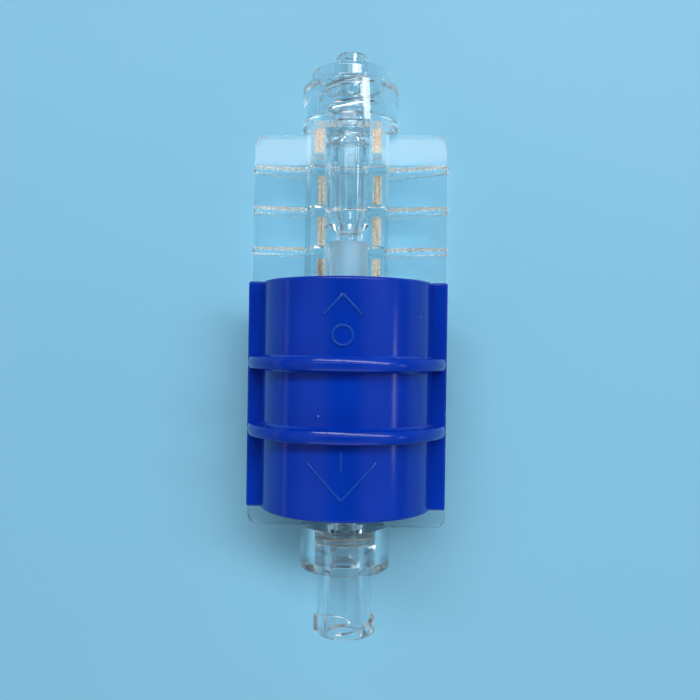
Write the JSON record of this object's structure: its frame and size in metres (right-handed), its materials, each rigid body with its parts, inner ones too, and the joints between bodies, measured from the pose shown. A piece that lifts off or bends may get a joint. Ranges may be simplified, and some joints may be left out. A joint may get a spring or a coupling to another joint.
{
  "type": "inline luer slide valve",
  "caption": "Clear in-line tube valve with luer lock ends, a winged body and a blue sliding cover whose roller pinches a soft silicone tube shut.",
  "frame": {"origin": "centre of the footprint, on the plane that the feet of the back ribs stand on", "axes": "+Y along the flow axis from the inlet to the outlet, +Z out of the front, through the slider, +X to the right seen from the front"},
  "size_m": [0.0252, 0.073, 0.0193],
  "materials": {
    "clear_plastic": "polished, clear polycarbonate",
    "clear_bonded": "polished, clear polycarbonate",
    "silicone": "satin, milky translucent silicone",
    "seal": "satin silicone",
    "mesh": "woven monofilament",
    "blue_plastic": "semi-gloss, moulded ABS",
    "white_plastic": "smooth acetal",
    "steel": "drawn pin"
  },
  "bodies": {
    "housing": {"side_wings": "clear_plastic", "channel_box": "clear_plastic", "grip_ribs": "clear_plastic", "inlet_socket": "clear_plastic", "outlet_core": "clear_bonded", "pinch_tube": "silicone", "inlet_nozzle": "clear_bonded", "strainer_disc": "mesh", "inlet_seal": "seal", "inlet_hub": "clear_bonded", "inlet_lugs": "clear_bonded"},
    "collar": {"lock_collar": "clear_bonded", "collar_thread": "clear_bonded"},
    "slider": {"slider_cover": "blue_plastic", "side_rails": "blue_plastic", "grip_bands": "blue_plastic", "guide_legs": "blue_plastic", "direction_marks": "blue_plastic"},
    "axle": {"roller_axle": "steel"},
    "roller": {"pinch_roller": "white_plastic"}
  },
  "joints": [
    {"name": "slider_travel", "type": "slide", "parent": "housing", "child": "slider", "axis": [0, 1, 0], "range_m": [0, 0.0185]},
    {"name": "pinch_drop", "type": "slide", "parent": "slider", "child": "axle", "axis": [0, 0, -1], "range_m": [0, 0.00365], "deforming": ["pinch_tube"]},
    {"name": "roller_spin", "type": "hinge", "parent": "axle", "child": "roller", "pos_m": [0, -0.0125, 0.01195], "axis": [1, 0, 0], "range_deg": [-465, 0]},
    {"name": "collar_spin", "type": "hinge", "parent": "housing", "child": "collar", "pos_m": [0, 0.0305, 0.0068], "axis": [0, 1, 0], "continuous": true}
  ],
  "couplings": [
    {"joint": "pinch_drop", "follows": "slider_travel", "ratio": 0.1973},
    {"joint": "roller_spin", "follows": "slider_travel", "rad_per_m": -434.78}
  ]
}
